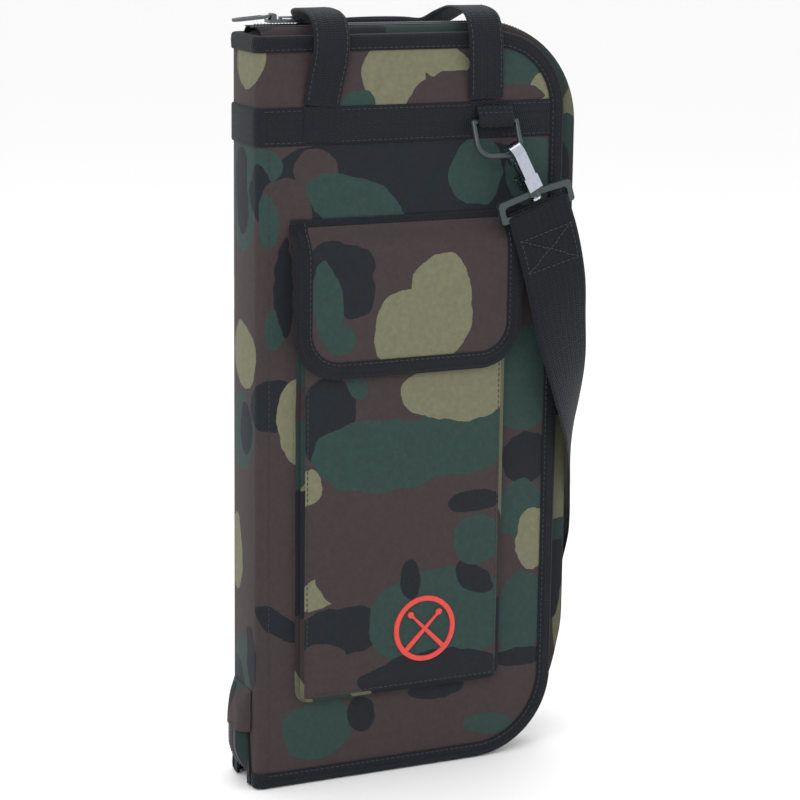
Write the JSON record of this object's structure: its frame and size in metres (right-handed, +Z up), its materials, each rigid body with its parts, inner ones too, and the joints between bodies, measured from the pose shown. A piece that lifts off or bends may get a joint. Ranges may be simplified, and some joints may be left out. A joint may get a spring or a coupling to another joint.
{
  "type": "drum stick bag",
  "caption": "Upright zipped case for drum sticks: two padded covers on a spine, a flap pocket, two carry handles and a clip-on shoulder strap.",
  "frame": {"origin": "On the floor, midway between the two covers and halfway along their width.", "axes": "+Z is up, the front cover faces -Y, the spine is at -X and the zip's long side at +X."},
  "size_m": [0.249, 0.1042, 0.495],
  "materials": {
    "camo_cloth": "woven nylon, four-colour woodland print",
    "lining_cloth": "plain woven nylon",
    "black_webbing": "ribbed nylon webbing and tape",
    "foam": "padding, sewn in",
    "zip_coil": "moulded nylon",
    "dark_metal": "black lacquer, satin",
    "bright_metal": "plated, slightly worn",
    "badge_rubber": "matte print"
  },
  "bodies": {
    "back_cover": {"back_panel": "camo_cloth", "back_foam": "foam", "back_lining": "lining_cloth", "back_band": "black_webbing", "back_binding": "black_webbing", "back_gusset": "camo_cloth", "back_zip_tape": "black_webbing", "back_zip_teeth": "zip_coil", "stick_sleeve_wide": "lining_cloth", "stick_sleeve_narrow": "lining_cloth", "back_ring_tab": "black_webbing", "shoulder_strap": "black_webbing", "strap_adjuster": "zip_coil"},
    "spine": {"spine_panel": "camo_cloth", "spine_foam": "foam", "spine_lining": "lining_cloth", "spine_band": "black_webbing", "spine_top_binding": "black_webbing", "spine_notch_binding": "black_webbing", "zip_end_tab": "camo_cloth"},
    "front_cover": {"front_panel": "camo_cloth", "front_foam": "foam", "front_lining": "lining_cloth", "front_band": "black_webbing", "front_binding": "black_webbing", "front_gusset": "camo_cloth", "front_zip_tape": "black_webbing", "front_zip_teeth": "zip_coil", "brush_pocket": "lining_cloth", "outer_pocket": "camo_cloth", "pocket_loop_strip": "black_webbing", "emblem": "badge_rubber", "front_ring_tab": "black_webbing"},
    "flap": {"pocket_flap": "camo_cloth", "flap_binding": "black_webbing", "flap_hook_strip": "black_webbing"},
    "front_carry": {"front_handle": "black_webbing"},
    "back_carry": {"back_handle": "black_webbing"},
    "slider": {"zip_slider": "dark_metal"},
    "pull": {"zip_pull": "dark_metal"},
    "front_ring": {"front_ring": "dark_metal"},
    "front_hook": {"front_hook": "bright_metal", "front_gate_pin": "dark_metal"},
    "front_gate": {"front_gate": "bright_metal"},
    "front_loop": {"front_loop": "bright_metal"},
    "back_ring": {"back_ring": "dark_metal"},
    "back_hook": {"back_hook": "bright_metal", "back_gate_pin": "dark_metal"},
    "back_gate": {"back_gate": "bright_metal"},
    "back_loop": {"back_loop": "bright_metal"}
  },
  "joints": [
    {"name": "spine_fold", "type": "hinge", "parent": "back_cover", "child": "spine", "pos_m": [-0.106, 0.023, 0], "axis": [0, 0, -1], "range_deg": [0, 90], "deforming": ["shoulder_strap"]},
    {"name": "cover_fold", "type": "hinge", "parent": "spine", "child": "front_cover", "pos_m": [-0.106, -0.023, 0], "axis": [0, 0, -1], "range_deg": [0, 90]},
    {"name": "flap_lift", "type": "hinge", "parent": "front_cover", "child": "flap", "pos_m": [-0.10545, -0.03599, 0.357], "axis": [-0.9991, -0.0425, 0], "range_deg": [0, 90]},
    {"name": "front_handle_swing", "type": "hinge", "parent": "front_cover", "child": "front_carry", "pos_m": [-0.10591, -0.0252, 0.4377], "axis": [0.9991, 0.0425, 0], "range_deg": [0, 95], "deforming": ["front_handle"]},
    {"name": "back_handle_swing", "type": "hinge", "parent": "back_cover", "child": "back_carry", "pos_m": [-0.10577, 0.02849, 0.441], "axis": [0.9991, -0.0425, 0], "range_deg": [0, 110]},
    {"name": "slider_travel", "type": "slide", "parent": "back_cover", "child": "slider", "axis": [1, 0, 0], "range_m": [0, 0.118]},
    {"name": "pull_flip", "type": "hinge", "parent": "slider", "child": "pull", "pos_m": [-0.0875, 0, 0.4905], "axis": [0, 1, 0], "range_deg": [0, 120]},
    {"name": "front_ring_swing", "type": "hinge", "parent": "front_cover", "child": "front_ring", "pos_m": [0.05408, -0.0214, 0.4238], "axis": [-0.9991, -0.0425, 0], "range_deg": [0, 60]},
    {"name": "front_hook_swing", "type": "hinge", "parent": "front_ring", "child": "front_hook", "pos_m": [0.06486, -0.02968, 0.40421], "axis": [-0.9991, -0.0425, 0], "range_deg": [-2, 30]},
    {"name": "front_gate_press", "type": "hinge", "parent": "front_hook", "child": "front_gate", "pos_m": [0.07279, -0.02373, 0.38884], "axis": [0.8822, 0.0375, 0.4695], "range_deg": [0, 25], "stiffness_Nm_per_rad": 0.02},
    {"name": "front_loop_swivel", "type": "hinge", "parent": "front_hook", "child": "front_loop", "pos_m": [0.07837, -0.0291, 0.37878], "axis": [-0.469, -0.0199, 0.8829], "range_deg": [-10, 10]},
    {"name": "back_ring_swing", "type": "hinge", "parent": "back_cover", "child": "back_ring", "pos_m": [0.05408, 0.0214, 0.4238], "axis": [0.9991, -0.0425, 0], "range_deg": [0, 10]},
    {"name": "back_hook_swing", "type": "hinge", "parent": "back_ring", "child": "back_hook", "pos_m": [0.06486, 0.02968, 0.40421], "axis": [0.9991, -0.0425, 0], "range_deg": [-2, 20]},
    {"name": "back_gate_press", "type": "hinge", "parent": "back_hook", "child": "back_gate", "pos_m": [0.07279, 0.02373, 0.38884], "axis": [-0.8822, 0.0375, -0.4695], "range_deg": [0, 25], "stiffness_Nm_per_rad": 0.02},
    {"name": "back_loop_swivel", "type": "hinge", "parent": "back_hook", "child": "back_loop", "pos_m": [0.07837, 0.0291, 0.37878], "axis": [0.469, -0.0199, -0.8829], "range_deg": [-10, 10]}
  ]
}
